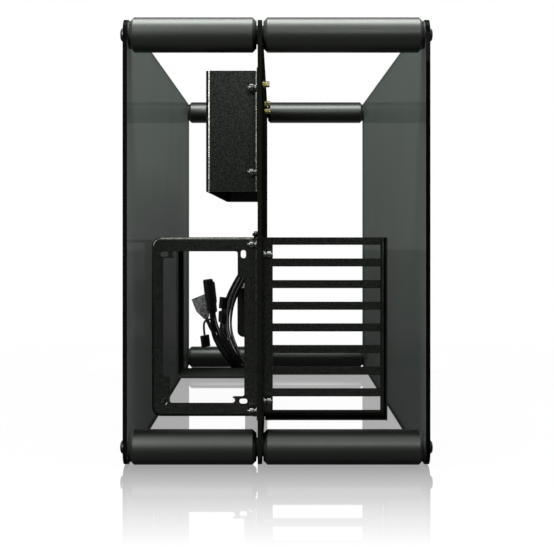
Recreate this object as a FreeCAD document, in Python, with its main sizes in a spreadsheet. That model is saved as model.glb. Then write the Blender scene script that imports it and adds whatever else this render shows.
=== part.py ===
import FreeCAD, Part
import math
import os
import Sketcher
from FreeCAD import Rotation, Vector

# Open-frame tower case, millimetres. The origin is on the floor below the middle of the case.
# +X points to the expansion-slot side as seen from the rear, +Y from the rear to the front, +Z up.

SIZES = {
    # round spacers at the four corners
    "tube_dia": 31.8,
    "tube_chamfer": 3.5,
    "tube_left_length": 114.5,
    "tube_right_length": 144.5,
    "corner_span_y": 640.0,
    "corner_span_z": 375.0,
    "stud_dia": 8.0,
    "stud_reach": 14.0,
    "thread_clear": 0.15,
    "bore_spare": 2.0,
    # washers
    "end_washer_dia": 25.0,
    "end_washer_thick": 1.5,
    "mid_washer_dia": 17.0,
    "mid_washer_thick": 1.2,
    # glass panels and center plate
    "glass_thick": 4.0,
    "plate_thick": 4.0,
    "panel_over": 13.5,
    "panel_under": 15.4,
    "panel_corner": 13.0,
    "hole_clear": 0.4,
    # dome-headed screws of the glass
    "glass_screw_dia": 6.0,
    "glass_screw_reach": 12.0,
    "dome_dia": 13.0,
    "dome_high": 3.7,
    "dome_round": 3.3,
    "hex_key": 4.6,
    "hex_key_deep": 2.0,
    # folded sheet brackets
    "sheet": 1.2,
    "bend": 1.3,
    "flange": 20.0,
    "rear_setback": 28.3,
    "bay_bottom": 38.2,
    "bay_height": 168.2,
    # frame of the power supply
    "psu_width": 100.0,
    "psu_corner": 8.5,
    "psu_return": 11.0,
    "psu_bar_left": 10.8,
    "psu_bar_right": 13.2,
    "psu_bar_top": 13.2,
    "psu_bar_bottom": 12.8,
    "opening_round": 2.0,
    "tall_tab_wide": 6.2,
    "tall_tab_high": 24.5,
    "flat_tab_wide": 11.3,
    "flat_tab_high": 6.2,
    "tab_notch_dia": 5.0,
    "psu_hole_span_x": 74.0,
    "psu_hole_span_z": 138.0,
    "psu_hole_inset": 14.0,
    "psu_hole_rise": 14.4,
    "psu_slot_long": 7.4,
    "psu_slot_wide": 4.8,
    # support strip of the same bay
    "support_setback": 240.0,
    "support_depth": 70.0,
    "support_height": 161.8,
    "support_sheet": 2.4,
    "support_bend": 2.5,
    "support_flange": 13.4,
    "support_screw_span": 44.0,
    # expansion-slot frame
    "slot_frame_width": 115.0,
    "slot_count": 8.0,
    "slot_pitch": 20.32,
    "slot_high": 12.7,
    "slot_wide": 100.9,
    "slot_inset": 9.6,
    "slot_first_rise": 12.5,
    "slot_lip": 18.0,
    "slot_lip_gap": 0.3,
    "card_screw_dia": 3.2,
    # drive box
    "drive_width": 49.3,
    "drive_length": 432.5,
    "drive_bottom": 249.4,
    "drive_height": 113.4,
    "drive_bend": 3.3,
    "drive_first": 40.0,
    "drive_pitch": 147.0,
    "drive_count": 3.0,
    "drive_hole_span_y": 44.45,
    "drive_hole_span_z": 95.25,
    "drive_hole_dia": 3.6,
    # flange screws
    "screw_dia": 4.0,
    "screw_head_dia": 7.4,
    "screw_head_high": 4.4,
    "screw_head_round": 0.7,
    "screw_washer_dia": 8.0,
    "screw_washer_thick": 0.8,
    "screw_neck_dia": 5.2,
    "screw_neck_long": 1.8,
    "screw_nub_dia": 3.4,
    "screw_nub_high": 1.6,
    "screw_inset": 6.8,
    "slot_screw_inset": 16.1,
    "drive_screw_inset": 17.5,
    # motherboard standoffs
    "standoff_high": 6.5,
    "standoff_across": 5.0,
    "standoff_pin": 3.5,
    "standoff_bore": 2.6,
    "standoff_bore_deep": 5.0,
    "board_setback": 13.5,
    "board_top_row": 351.8,
    "board_row_two": 157.48,
    "board_row_three": 124.46,
    "board_column_two": 154.94,
    "board_column_three": 227.33,
    "board_hole_step": 22.86,
    # cable passes in the plate
    "pass_wide": 30.0,
    "pass_high": 64.0,
    "pass_round": 6.0,
    "pass_setback": 20.0,
    "pass_bottom": 62.0,
    "pass_pitch": 80.0,
    # front-panel housing
    "io_width": 39.0,
    "io_depth": 90.0,
    "io_height": 71.5,
    "io_bottom": 55.0,
    "io_setback": 4.0,
    "io_wall": 2.2,
    "io_round": 9.0,
    "io_port_x": 19.5,
    "io_board_thick": 1.6,
    "io_board_clear": 0.25,
    "port_clear": 0.3,
    "port_depth": 14.0,
    "usb_wide": 13.1,
    "usb_high": 5.7,
    "usb_shell": 0.5,
    "usb_tongue_high": 1.8,
    "usb_tongue_deep": 9.0,
    "usb_first_rise": 28.0,
    "usb_pitch": 10.5,
    "jack_dia": 7.0,
    "jack_bore": 3.6,
    "jack_bore_deep": 11.0,
    "jack_first_rise": 10.0,
    "jack_pitch": 9.5,
    "power_dia": 14.0,
    "power_rise": 60.0,
    "reset_dia": 6.0,
    "reset_rise": 46.5,
    "button_clear": 0.3,
    "button_proud": 1.6,
    "button_rim": 1.2,
    "button_rim_thick": 1.2,
    "button_stem_dia": 3.0,
    "button_travel": 1.2,
    "switch_side": 6.0,
    "switch_high": 4.0,
    "switch_stop_gap": 0.3,
    "io_post_dia": 8.0,
    "io_post_y": 16.0,
    "io_post_z": 11.0,
    "io_post_span_y": 40.0,
    "io_screw_reach": 10.0,
    # gland and leads
    "gland_dia": 22.0,
    "gland_neck": 17.0,
    "gland_high": 4.0,
    "gland_collar": 3.0,
    "gland_setback": 41.5,
    "data_cable_dia": 6.0,
    "audio_cable_dia": 4.6,
    "second_cable_dia": 5.2,
    "lead_dia": 2.8,
    "thin_lead_dia": 3.0,
    # plugs on the leads
    "data_plug_wide": 11.5,
    "data_plug_thick": 9.0,
    "data_plug_long": 28.0,
    "data_plug_round": 2.0,
    "data_plug_chamfer": 1.5,
    "boot_wide": 8.6,
    "boot_thick": 7.4,
    "boot_long": 13.0,
    "boot_rib": 0.6,
    "boot_rib_long": 1.4,
    "boot_rib_pitch": 3.0,
    "audio_plug_wide": 18.0,
    "audio_plug_thick": 8.0,
    "audio_plug_long": 17.0,
    "audio_plug_taper": 13.0,
    "audio_plug_neck": 6.6,
    "lead_plug_wide": 11.0,
    "lead_plug_thick": 5.2,
    "lead_plug_long": 15.0,
    "lead_plug_key": 3.0,
    "lead_plug_key_deep": 1.0,
}

doc = FreeCAD.newDocument("open_frame_case")
sheet = doc.addObject("Spreadsheet::Sheet", "sizes")
for row, (alias, number) in enumerate(SIZES.items(), 1):
    sheet.set("A%d" % row, alias)
    sheet.set("B%d" % row, str(number))
    sheet.setAlias("B%d" % row, alias)
doc.recompute()

# Places that several pieces share, as expressions of the sheet.
SPAN_X = (
    "(2 * sizes.end_washer_thick + sizes.tube_left_length + 2 * sizes.mid_washer_thick"
    " + sizes.plate_thick + sizes.tube_right_length)"
)
X_GLASS_LEFT = "(-%s / 2)" % SPAN_X
X_GLASS_RIGHT = "(%s / 2)" % SPAN_X
X_TUBE_LEFT = "(%s + sizes.end_washer_thick)" % X_GLASS_LEFT
X_PLATE = "(%s + sizes.tube_left_length + sizes.mid_washer_thick)" % X_TUBE_LEFT
X_BOARD_SIDE = "(%s + sizes.plate_thick)" % X_PLATE
X_TUBE_RIGHT = "(%s + sizes.mid_washer_thick)" % X_BOARD_SIDE
Y_CORNER = "(sizes.corner_span_y / 2)"
Z_CORNER = "(sizes.tube_dia / 2)"
Z_CORNER_TOP = "(%s + sizes.corner_span_z)" % Z_CORNER
Y_REAR = "(-%s + sizes.rear_setback)" % Y_CORNER
Y_FLANGE = "(%s - sizes.flange / 2)" % Y_REAR
Y_SUPPORT = "(%s + sizes.support_setback)" % Y_REAR
Y_BOARD = "(%s + sizes.board_setback)" % Y_REAR
Y_IO = "(%s + sizes.panel_over - sizes.io_setback)" % Y_CORNER
Z_BAY_TOP = "(sizes.bay_bottom + sizes.bay_height)"
Z_IO_TOP = "(sizes.io_bottom + sizes.io_height)"
Y_DRIVE_END = "(%s + sizes.drive_length)" % Y_REAR

nodes = []


def value(expression):
    """Number that an expression of the sheet gives."""
    return float(sheet.evalExpression(expression))


def node(item, label):
    """List a finished piece under the name of its file."""
    item.Label = label
    nodes.append((label, item))
    return item


def body_at(name, x="0", y="0", z="0"):
    """New body whose local origin sits at the given expressions."""
    body = doc.addObject("PartDesign::Body", name)
    place(body, x, y, z)
    return body


def place(item, x, y, z):
    for axis, expression in (("x", x), ("y", y), ("z", z)):
        item.setExpression("Placement.Base." + axis, expression)


def datum(body, role):
    return next(item for item in body.Origin.OriginFeatures if item.Role == role)


def sketch(body, name, role, offset="0"):
    """Sketch on one of the body's own planes, moved along the plane's normal."""
    item = body.newObject("Sketcher::SketchObject", body.Name + "_" + name)
    item.AttachmentSupport = [(datum(body, role), "")]
    item.MapMode = "FlatFace"
    item.setExpression("AttachmentOffset.Base.z", offset)
    return item


def bind(item, constraint, expression):
    number = item.addConstraint(constraint)
    item.setExpression("Constraints[%d]" % number, expression)


def outline(item, corners, rounds=None):
    """Closed outline of level and upright lines, with a round at each corner number in rounds."""
    rounds = rounds or {}
    count = len(corners)
    spots = [Vector(value(u), value(v), 0) for u, v in corners]
    radii = [value(rounds[i]) if i in rounds else 0.0 for i in range(count)]
    ways = [(spots[(i + 1) % count] - spots[i]).normalize() for i in range(count)]
    lines = []
    for i in range(count):
        after = (i + 1) % count
        start = spots[i] + ways[i] * radii[i]
        end = spots[after] - ways[i] * radii[after]
        lines.append(item.addGeometry(Part.LineSegment(start, end), False))
    for i in range(count):
        level = abs(ways[i].y) < 1e-9
        item.addConstraint(Sketcher.Constraint("Horizontal" if level else "Vertical", lines[i]))
        if level:
            bind(item, Sketcher.Constraint("DistanceY", -1, 1, lines[i], 1, spots[i].y), corners[i][1])
        else:
            bind(item, Sketcher.Constraint("DistanceX", -1, 1, lines[i], 1, spots[i].x), corners[i][0])
    for i in range(count):
        before = lines[i - 1]
        if i not in rounds:
            item.addConstraint(Sketcher.Constraint("Coincident", before, 2, lines[i], 1))
            continue
        arrive = spots[i] - ways[i - 1] * radii[i]
        leave = spots[i] + ways[i] * radii[i]
        middle = arrive + ways[i] * radii[i]
        left_turn = ways[i - 1].cross(ways[i]).z > 0
        first, last = (arrive, leave) if left_turn else (leave, arrive)
        begin = math.atan2(first.y - middle.y, first.x - middle.x)
        end = math.atan2(last.y - middle.y, last.x - middle.x)
        circle_arc = Part.ArcOfCircle(Part.Circle(middle, Vector(0, 0, 1), radii[i]), begin, end)
        arc = item.addGeometry(circle_arc, False)
        entry, departure = (1, 2) if left_turn else (2, 1)
        item.addConstraint(Sketcher.Constraint("Tangent", before, 2, arc, entry))
        item.addConstraint(Sketcher.Constraint("Tangent", arc, departure, lines[i], 1))
        bind(item, Sketcher.Constraint("Radius", arc, radii[i]), rounds[i])


def rectangle(item, u0, v0, u1, v1, round_by=None):
    rounds = {i: round_by for i in range(4)} if round_by else None
    outline(item, [(u0, v0), (u1, v0), (u1, v1), (u0, v1)], rounds)


def circle(item, u, v, dia):
    ring = Part.Circle(Vector(value(u), value(v), 0), Vector(0, 0, 1), value(dia) / 2)
    number = item.addGeometry(ring, False)
    bind(item, Sketcher.Constraint("DistanceX", -1, 1, number, 3, value(u)), u)
    bind(item, Sketcher.Constraint("DistanceY", -1, 1, number, 3, value(v)), v)
    bind(item, Sketcher.Constraint("Diameter", number, value(dia)), dia)


def pad(body, profile, length, backwards=False):
    feature = body.newObject("PartDesign::Pad", profile.Name + "_pad")
    feature.Profile = profile
    feature.setExpression("Length", length)
    feature.Reversed = backwards
    return feature


def pocket(body, profile, length, backwards=False):
    """Cut that has to take material away, so its direction is right."""
    doc.recompute()
    before = body.Shape.Volume
    feature = body.newObject("PartDesign::Pocket", profile.Name + "_cut")
    feature.Profile = profile
    feature.setExpression("Length", length)
    feature.Reversed = backwards
    doc.recompute()
    if body.Shape.Volume > before - 1e-6:
        raise ValueError(profile.Name + " cuts nothing")
    return feature


def turned(body, profile, axis="H_Axis"):
    feature = body.newObject("PartDesign::Revolution", profile.Name + "_turn")
    feature.Profile = profile
    feature.ReferenceAxis = (profile, [axis])
    feature.Angle = 360
    return feature


def repeat(body, features, *steps):
    """Repeat features along one or two axes; each step is an axis, its whole span and a count."""
    group = body.newObject("PartDesign::MultiTransform", features[0].Name + "_set")
    group.Originals = features
    moves = []
    for role, span, count in steps:
        move = body.newObject("PartDesign::LinearPattern", features[0].Name + "_" + role)
        move.Direction = (datum(body, role), [""])
        move.setExpression("Length", span)
        move.setExpression("Occurrences", count)
        moves.append(move)
    group.Transformations = moves
    body.Tip = group
    return group


def edges_of(shape, wanted):
    return ["Edge%d" % (i + 1) for i, edge in enumerate(shape.Edges) if wanted(edge)]


def dress(body, kind, base, names, size_name, size):
    """Fillet or chamfer on the named edges of a feature."""
    feature = body.newObject("PartDesign::" + kind, base.Name + "_" + kind.lower())
    feature.Base = (base, names)
    feature.setExpression(size_name, size)
    return feature


CORNERS = (("Y_Axis", "sizes.corner_span_y", "2"), ("Z_Axis", "sizes.corner_span_z", "2"))
TUBE_SCREW_BORE = "(sizes.glass_screw_dia / 2 + sizes.thread_clear)"
TUBE_SCREW_DEEP = "(sizes.glass_screw_reach + sizes.bore_spare)"
TUBE_STUD_BORE = "(sizes.stud_dia / 2 + sizes.thread_clear)"
TUBE_STUD_DEEP = "(sizes.stud_reach + sizes.bore_spare)"


def tube(label, x, y, z, length, first_bore, last_bore):
    """Turned spacer along X with a threaded bore and a chamfer at each end."""
    body = body_at(label, x, y, z)
    profile = sketch(body, "profile", "XY_Plane")
    outline(profile, [
        (first_bore[1], "0"),
        ("%s - %s" % (length, last_bore[1]), "0"),
        ("%s - %s" % (length, last_bore[1]), last_bore[0]),
        (length, last_bore[0]),
        (length, "sizes.tube_dia / 2"),
        ("0", "sizes.tube_dia / 2"),
        ("0", first_bore[0]),
        first_bore[::-1],
    ])
    turn = turned(body, profile)
    doc.recompute()
    radius = value("sizes.tube_dia / 2")
    rims = edges_of(turn.Shape, lambda e: hasattr(e.Curve, "Radius") and abs(e.Curve.Radius - radius) < 1e-6)
    dress(body, "Chamfer", turn, rims, "Size", "sizes.tube_chamfer")
    return node(body, label)


screw_bore = (TUBE_SCREW_BORE, TUBE_SCREW_DEEP)
stud_bore = (TUBE_STUD_BORE, TUBE_STUD_DEEP)
for end, y in (("rear", "-" + Y_CORNER), ("front", Y_CORNER)):
    for level, z in (("bottom", Z_CORNER), ("top", Z_CORNER_TOP)):
        tube("tube_left_%s_%s" % (end, level), X_TUBE_LEFT, y, z, "sizes.tube_left_length", screw_bore, stud_bore)
        tube("tube_right_%s_%s" % (end, level), X_TUBE_RIGHT, y, z, "sizes.tube_right_length", stud_bore, screw_bore)


def washers(label, x, outer, thick, hole):
    """Four flat washers, one at each corner."""
    body = body_at(label, x, "-" + Y_CORNER, Z_CORNER)
    profile = sketch(body, "profile", "XY_Plane")
    rectangle(profile, "0", hole + " / 2 + sizes.thread_clear", thick, outer + " / 2")
    repeat(body, [turned(body, profile)], *CORNERS)
    return node(body, label)


washers("glass_washers_left", X_GLASS_LEFT, "sizes.end_washer_dia", "sizes.end_washer_thick", "sizes.glass_screw_dia")
washers(
    "glass_washers_right",
    X_GLASS_RIGHT + " - sizes.end_washer_thick",
    "sizes.end_washer_dia",
    "sizes.end_washer_thick",
    "sizes.glass_screw_dia",
)
washers(
    "plate_washers_left",
    X_PLATE + " - sizes.mid_washer_thick",
    "sizes.mid_washer_dia",
    "sizes.mid_washer_thick",
    "sizes.stud_dia",
)
washers("plate_washers_right", X_BOARD_SIDE, "sizes.mid_washer_dia", "sizes.mid_washer_thick", "sizes.stud_dia")

# Threaded studs that pull each pair of spacers together through the plate.
studs = body_at(
    "joining_studs",
    X_PLATE + " - sizes.mid_washer_thick - sizes.stud_reach",
    "-" + Y_CORNER,
    Z_CORNER,
)
profile = sketch(studs, "profile", "XY_Plane")
rectangle(
    profile,
    "0",
    "0",
    "2 * sizes.stud_reach + 2 * sizes.mid_washer_thick + sizes.plate_thick",
    "sizes.stud_dia / 2",
)
repeat(studs, [turned(studs, profile)], *CORNERS)
node(studs, "joining_studs")


def glass_screws(label, x, turn_round):
    """Four dome-headed hex-key screws through a glass panel."""
    start_y = Y_CORNER if turn_round else "-" + Y_CORNER
    body = body_at(label, x, start_y, Z_CORNER)
    if turn_round:
        body.Placement.Rotation = Rotation(Vector(0, 0, 1), 180)
        place(body, x, start_y, Z_CORNER)
    profile = sketch(body, "profile", "XY_Plane")
    shank_end = "(sizes.glass_thick + sizes.end_washer_thick + sizes.glass_screw_reach)"
    outline(profile, [
        ("-sizes.dome_high", "0"),
        (shank_end, "0"),
        (shank_end, "sizes.glass_screw_dia / 2"),
        ("0", "sizes.glass_screw_dia / 2"),
        ("0", "sizes.dome_dia / 2"),
        ("-sizes.dome_high", "sizes.dome_dia / 2"),
    ], {5: "sizes.dome_round"})
    turn = turned(body, profile)
    doc.recompute()
    key = body.newObject("PartDesign::SubtractivePrism", label + "_key")
    key.AttachmentSupport = [(datum(body, "YZ_Plane"), "")]
    key.MapMode = "FlatFace"
    key.setExpression("AttachmentOffset.Base.z", "-sizes.dome_high")
    key.setExpression("Circumradius", "sizes.hex_key / 2")
    key.setExpression("Height", "sizes.hex_key_deep")
    repeat(body, [turn, key], *CORNERS)
    return node(body, label)


glass_screws("glass_screws_left", X_GLASS_LEFT + " - sizes.glass_thick", False)
glass_screws("glass_screws_right", X_GLASS_RIGHT + " + sizes.glass_thick", True)


def panel_outline(item):
    """Outline that the plate and both glass panels share, on a plane of Y and Z."""
    end = "(%s + sizes.panel_over)" % Y_CORNER
    bottom = "(%s - sizes.panel_under)" % Z_CORNER
    top = "(%s + sizes.panel_over)" % Z_CORNER_TOP
    rectangle(item, "-" + end, bottom, end, top, "sizes.panel_corner")


def corner_holes(item, dia):
    for y in ("-" + Y_CORNER, Y_CORNER):
        for z in (Z_CORNER, Z_CORNER_TOP):
            circle(item, y, z, dia)


for label, x in (("glass_left", X_GLASS_LEFT + " - sizes.glass_thick"), ("glass_right", X_GLASS_RIGHT)):
    glass = body_at(label, x)
    profile = sketch(glass, "profile", "YZ_Plane")
    panel_outline(profile)
    corner_holes(profile, "sizes.glass_screw_dia + 2 * sizes.hole_clear")
    pad(glass, profile, "sizes.glass_thick")
    node(glass, label)

# Screw places on the plate: Y and Z of each bracket's screws.
psu_screws = [
    (Y_FLANGE, "sizes.bay_bottom + sizes.screw_inset"),
    (Y_FLANGE, Z_BAY_TOP + " - sizes.screw_inset"),
]
slot_screws = [
    (Y_FLANGE, "sizes.bay_bottom + sizes.slot_screw_inset"),
    (Y_FLANGE, Z_BAY_TOP + " - sizes.slot_screw_inset"),
]
drive_low = "sizes.drive_bottom + sizes.drive_screw_inset"
drive_high = "sizes.drive_bottom + sizes.drive_height - sizes.drive_screw_inset"
drive_screws = [
    (Y_FLANGE, drive_low),
    (Y_FLANGE, drive_high),
    (Y_DRIVE_END + " + sizes.flange / 2", drive_low),
    (Y_DRIVE_END + " + sizes.flange / 2", drive_high),
]
support_y = Y_SUPPORT + " + sizes.support_depth / 2"
SUPPORT_RISE = "(sizes.support_flange - sizes.support_sheet + sizes.support_bend) / 2"
SUPPORT_LOW = f"(sizes.bay_bottom - {SUPPORT_RISE})"
SUPPORT_HIGH = f"(sizes.bay_bottom + sizes.support_height + {SUPPORT_RISE})"
support_screws = [
    (support_y + sign + "sizes.support_screw_span / 2", z)
    for sign in (" - ", " + ")
    for z in (SUPPORT_LOW, SUPPORT_HIGH)
]
io_y = Y_IO + " - sizes.io_depth + sizes.io_post_y"
IO_LOW = "(sizes.io_bottom + sizes.io_post_z)"
IO_HIGH = "(%s - sizes.io_post_z)" % Z_IO_TOP
io_screws = [(io_y + extra, z) for extra in ("", " + sizes.io_post_span_y") for z in (IO_LOW, IO_HIGH)]

ROW_TWO = "(sizes.board_top_row - sizes.board_row_two)"
ROW_THREE = "(%s - sizes.board_row_three)" % ROW_TWO
standoff_places = []
for z, first in (("sizes.board_top_row", ""), (ROW_TWO, " + sizes.board_hole_step"), (ROW_THREE, "")):
    standoff_places.append((Y_BOARD + first, z))
    standoff_places.append((Y_BOARD + " + sizes.board_column_two", z))
    standoff_places.append((Y_BOARD + " + sizes.board_column_three", z))

plate = body_at("center_plate", X_PLATE)
profile = sketch(plate, "profile", "YZ_Plane")
panel_outline(profile)
corner_holes(profile, "sizes.stud_dia + 2 * sizes.hole_clear")
for y, z in psu_screws + slot_screws + drive_screws + support_screws + io_screws:
    circle(profile, y, z, "sizes.screw_dia + 2 * sizes.thread_clear")
for y, z in standoff_places:
    circle(profile, y, z, "sizes.standoff_pin + 2 * sizes.thread_clear")
pass_start = "(%s + sizes.support_depth + sizes.pass_setback)" % Y_SUPPORT
for step in ("0", "1"):
    low = "(sizes.pass_bottom + %s * sizes.pass_pitch)" % step
    rectangle(
        profile,
        pass_start,
        low,
        pass_start + " + sizes.pass_wide",
        low + " + sizes.pass_high",
        "sizes.pass_round",
    )
pad(plate, profile, "sizes.plate_thick")
node(plate, "center_plate")


def flange_screws(label, left_side, places, grip):
    """Thumb screws with a captive washer, driven through a flange into the plate."""
    steps = []
    ys = sorted({value(y) for y, z in places})
    zs = sorted({value(z) for y, z in places})
    first = min(places, key=lambda spot: (value(spot[0]), value(spot[1])))
    last = max(places, key=lambda spot: (value(spot[0]), value(spot[1])))
    if len(ys) > 1:
        steps.append(("Y_Axis", "(%s) - (%s)" % (last[0], first[0]), "2"))
    if len(zs) > 1:
        steps.append(("Z_Axis", "(%s) - (%s)" % (last[1], first[1]), "2"))
    if left_side:
        body = body_at(label, "%s - (%s)" % (X_PLATE, grip), first[0], first[1])
        into = "1"
    else:
        body = body_at(label, "%s + (%s)" % (X_BOARD_SIDE, grip), first[0], first[1])
        into = "-1"
    profile = sketch(body, "profile", "XY_Plane")
    tip = "%s * (%s + sizes.plate_thick - sizes.hole_clear)" % (into, grip)
    rim = "-%s * sizes.screw_washer_thick" % into
    base = "-%s * (sizes.screw_washer_thick + sizes.screw_neck_long)" % into
    top = "(%s - %s * sizes.screw_head_high)" % (base, into)
    end = "(%s - %s * sizes.screw_nub_high)" % (top, into)
    corners = [
        (end, "0"),
        (tip, "0"),
        (tip, "sizes.screw_dia / 2"),
        ("0", "sizes.screw_dia / 2"),
        ("0", "sizes.screw_washer_dia / 2"),
        (rim, "sizes.screw_washer_dia / 2"),
        (rim, "sizes.screw_neck_dia / 2"),
        (base, "sizes.screw_neck_dia / 2"),
        (base, "sizes.screw_head_dia / 2"),
        (top, "sizes.screw_head_dia / 2"),
        (top, "sizes.screw_nub_dia / 2"),
        (end, "sizes.screw_nub_dia / 2"),
    ]
    outline(profile, corners, {8: "sizes.screw_head_round", 9: "sizes.screw_head_round"})
    repeat(body, [turned(body, profile)], *steps)
    return node(body, label)


flange_screws("psu_frame_screws", True, psu_screws, "sizes.sheet")
flange_screws("drive_box_screws", True, drive_screws, "sizes.sheet")
flange_screws("psu_support_screws", True, support_screws, "sizes.support_sheet")
flange_screws("slot_frame_screws", False, slot_screws, "sizes.sheet")

BEND_OUT = "(sizes.bend + sizes.sheet)"
SCREW_HOLE = "sizes.screw_dia + 2 * sizes.hole_clear"


def flange_holes(body, places, origin, x, thick):
    """Clearance holes of the flange screws, cut along X from the plane at x."""
    item = sketch(body, "flange_holes", "YZ_Plane", x)
    for y, z in places:
        circle(item, "%s - %s" % (y, origin[0]), "%s - %s" % (z, origin[1]), SCREW_HOLE)
    return pocket(body, item, thick)


# Expansion-slot frame: a channel folded from one sheet, eight slots, a lip at the bottom.
slots = body_at("slot_frame", X_BOARD_SIDE, Y_REAR, "sizes.bay_bottom")
profile = sketch(slots, "profile", "XY_Plane")
wide = "sizes.slot_frame_width"
outline(profile, [
    ("0", "-sizes.flange"),
    ("sizes.sheet", "-sizes.flange"),
    ("sizes.sheet", "0"),
    (wide + " - sizes.sheet", "0"),
    (wide + " - sizes.sheet", "-sizes.flange"),
    (wide, "-sizes.flange"),
    (wide, "sizes.sheet"),
    ("0", "sizes.sheet"),
], {2: "sizes.bend", 3: "sizes.bend", 6: BEND_OUT, 7: BEND_OUT})
pad(slots, profile, "sizes.bay_height")
lip = sketch(slots, "lip", "XY_Plane")
lip_end = wide + " - sizes.sheet - sizes.slot_lip_gap"
lip_step = "-sizes.bend - sizes.slot_lip_gap"
outline(lip, [
    (BEND_OUT, "-sizes.slot_lip"),
    (lip_end, "-sizes.slot_lip"),
    (lip_end, lip_step),
    (wide + " - " + BEND_OUT, lip_step),
    (wide + " - " + BEND_OUT, "sizes.sheet"),
    (BEND_OUT, "sizes.sheet"),
], {})
pad(slots, lip, "sizes.sheet")
doc.recompute()
lip_base = slots.Tip
lip_edges = edges_of(
    lip_base.Shape,
    lambda e: abs(e.BoundBox.ZMax) < 1e-6
    and abs(e.BoundBox.YMin - value("sizes.sheet")) < 1e-6
    and e.BoundBox.XLength > value("sizes.slot_wide") / 2,
)
dress(slots, "Fillet", lip_base, lip_edges, "Radius", "sizes.sheet * 0.9")
first_slot = sketch(slots, "slot", "XZ_Plane")
slot_low = "(sizes.slot_first_rise - sizes.slot_high / 2)"
rectangle(
    first_slot,
    "sizes.slot_inset",
    slot_low,
    "sizes.slot_inset + sizes.slot_wide",
    slot_low + " + sizes.slot_high",
)
slot_cut = pocket(slots, first_slot, "2 * sizes.sheet")
slot_span = "(sizes.slot_count - 1) * sizes.slot_pitch"
repeat(slots, [slot_cut], ("Z_Axis", slot_span, "sizes.slot_count"))
card = sketch(slots, "card_hole", "YZ_Plane", wide)
circle(card, "-sizes.flange / 2", "sizes.slot_first_rise", "sizes.card_screw_dia")
card_cut = pocket(slots, card, "2 * sizes.sheet")
repeat(slots, [card_cut], ("Z_Axis", slot_span, "sizes.slot_count"))
flange_holes(slots, slot_screws, (Y_REAR, "sizes.bay_bottom"), "sizes.sheet", "sizes.sheet")
node(slots, "slot_frame")

# Frame of the power supply: a shallow tray with three returns, one flange folded to the plate.
frame = body_at("psu_frame", X_PLATE, Y_REAR, "sizes.bay_bottom")
face_end = "(-2 * %s)" % BEND_OUT
tray = sketch(frame, "tray", "XZ_Plane")
outline(tray, [
    ("-sizes.psu_width", "0"),
    (face_end, "0"),
    (face_end, "sizes.bay_height"),
    ("-sizes.psu_width", "sizes.bay_height"),
], {0: "sizes.psu_corner", 3: "sizes.psu_corner"})
tray_pad = pad(frame, tray, "sizes.psu_return", True)
doc.recompute()
fold = edges_of(
    tray_pad.Shape,
    lambda e: abs(e.BoundBox.YMax) < 1e-6 and e.BoundBox.XMin < value(face_end) - 1e-3,
)
dress(frame, "Fillet", tray_pad, fold, "Radius", BEND_OUT)
hollow = sketch(frame, "hollow", "XZ_Plane", "-sizes.psu_return")
inner_corner = "sizes.psu_corner - sizes.sheet"
outline(hollow, [
    ("-sizes.psu_width + sizes.sheet", "sizes.sheet"),
    ("0", "sizes.sheet"),
    ("0", "sizes.bay_height - sizes.sheet"),
    ("-sizes.psu_width + sizes.sheet", "sizes.bay_height - sizes.sheet"),
], {0: inner_corner, 3: inner_corner})
hollow_cut = pocket(frame, hollow, "sizes.psu_return - sizes.sheet", True)
inner_fold = edges_of(
    hollow_cut.Shape,
    lambda e: abs(e.BoundBox.YMin - value("sizes.sheet")) < 1e-6
    and e.BoundBox.YLength < 1e-6
    and e.BoundBox.XMin < value(face_end) - 1e-3
    and e.BoundBox.XMin > value("-sizes.psu_width") + 1e-3,
)
dress(frame, "Fillet", hollow_cut, inner_fold, "Radius", "sizes.bend")
relief = sketch(frame, "relief", "XZ_Plane", "-sizes.psu_return")
for z0, z1 in (("-1", "sizes.psu_corner"), ("sizes.bay_height - sizes.psu_corner", "sizes.bay_height + 1")):
    rectangle(relief, "-sizes.psu_width - 1", z0, "-sizes.psu_width + sizes.psu_corner", z1)
pocket(frame, relief, "sizes.psu_return - " + BEND_OUT, True)
leg = sketch(frame, "leg", "XY_Plane")
outline(leg, [
    (face_end, "0"),
    ("-sizes.sheet", "0"),
    ("-sizes.sheet", "-sizes.flange"),
    ("0", "-sizes.flange"),
    ("0", "sizes.sheet"),
    (face_end, "sizes.sheet"),
], {1: "sizes.bend", 4: BEND_OUT})
pad(frame, leg, "sizes.bay_height")
mouth = sketch(frame, "mouth", "XZ_Plane")
mouth_left = "(-sizes.psu_width + sizes.psu_bar_left)"
mouth_right = "(-sizes.psu_bar_right)"
mouth_low = "sizes.psu_bar_bottom"
mouth_high = "(sizes.bay_height - sizes.psu_bar_top)"
low_corner = mouth_left + " + sizes.tall_tab_wide"
outline(mouth, [
    (low_corner, mouth_low),
    (mouth_right + " - sizes.flat_tab_wide", mouth_low),
    (mouth_right + " - sizes.flat_tab_wide", mouth_low + " + sizes.flat_tab_high"),
    (mouth_right, mouth_low + " + sizes.flat_tab_high"),
    (mouth_right, mouth_high + " - sizes.tall_tab_high"),
    (mouth_right + " - sizes.tall_tab_wide", mouth_high + " - sizes.tall_tab_high"),
    (mouth_right + " - sizes.tall_tab_wide", mouth_high),
    (mouth_left + " + sizes.flat_tab_wide", mouth_high),
    (mouth_left + " + sizes.flat_tab_wide", mouth_high + " - sizes.flat_tab_high"),
    (mouth_left, mouth_high + " - sizes.flat_tab_high"),
    (mouth_left, mouth_low + " + sizes.tall_tab_high"),
    (low_corner, mouth_low + " + sizes.tall_tab_high"),
], {i: "sizes.opening_round" for i in range(12) if i not in (1, 7)})
pocket(frame, mouth, "2 * sizes.sheet")
notches = sketch(frame, "notches", "XZ_Plane")
circle(
    notches,
    mouth_right + " - sizes.flat_tab_wide",
    mouth_low + " + sizes.tab_notch_dia / 2",
    "sizes.tab_notch_dia",
)
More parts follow.
